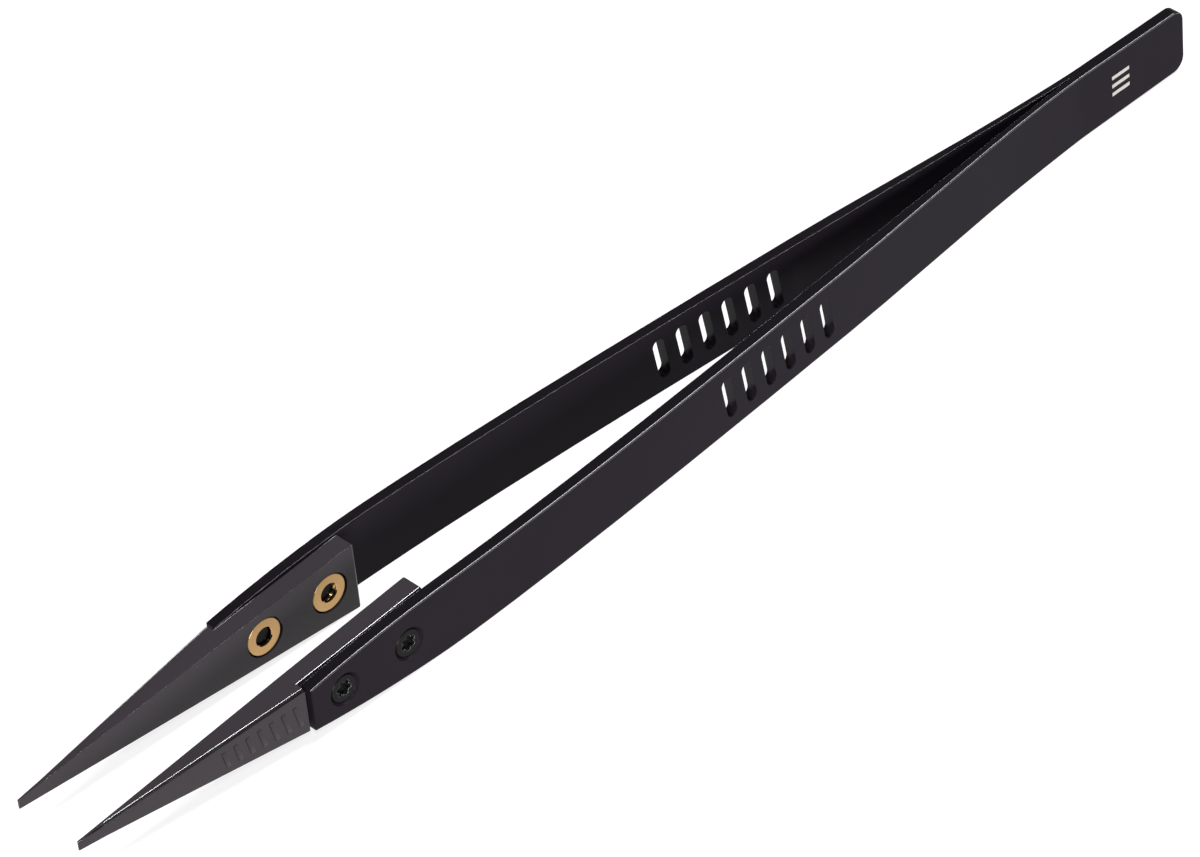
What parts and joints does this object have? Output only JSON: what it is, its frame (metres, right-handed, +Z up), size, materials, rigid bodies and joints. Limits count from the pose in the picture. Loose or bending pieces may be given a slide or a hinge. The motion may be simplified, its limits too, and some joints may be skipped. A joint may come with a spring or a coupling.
{
  "type": "ceramic-tipped tweezers",
  "caption": "Flat-armed spring tweezers in black-coated steel, with long wedge-shaped black ceramic tips held by countersunk screws and flanged brass nuts.",
  "frame": {"origin": "middle of the footprint, on the surface that the tweezers lie on", "axes": "+X along the length towards the welded heel, +Y across the opening towards the right arm, +Z up along the width of the strips"},
  "size_m": [0.1302, 0.0122, 0.0067],
  "materials": {
    "coated_arm": "thin satin black coating on stainless spring steel",
    "black_ceramic": "fine-ground matte black zirconia",
    "blackened_screw": "black oxide, slightly glossy",
    "brass_nut": "plain turned brass"
  },
  "bodies": {
    "root": {"left_arm": "coated_arm", "right_arm": "coated_arm", "left_ceramic_tip": "black_ceramic", "right_ceramic_tip": "black_ceramic", "left_front_screw": "blackened_screw", "left_rear_screw": "blackened_screw", "right_front_screw": "blackened_screw", "right_rear_screw": "blackened_screw", "left_front_nut": "brass_nut", "left_rear_nut": "brass_nut", "right_front_nut": "brass_nut", "right_rear_nut": "brass_nut"}
  },
  "joints": []
}
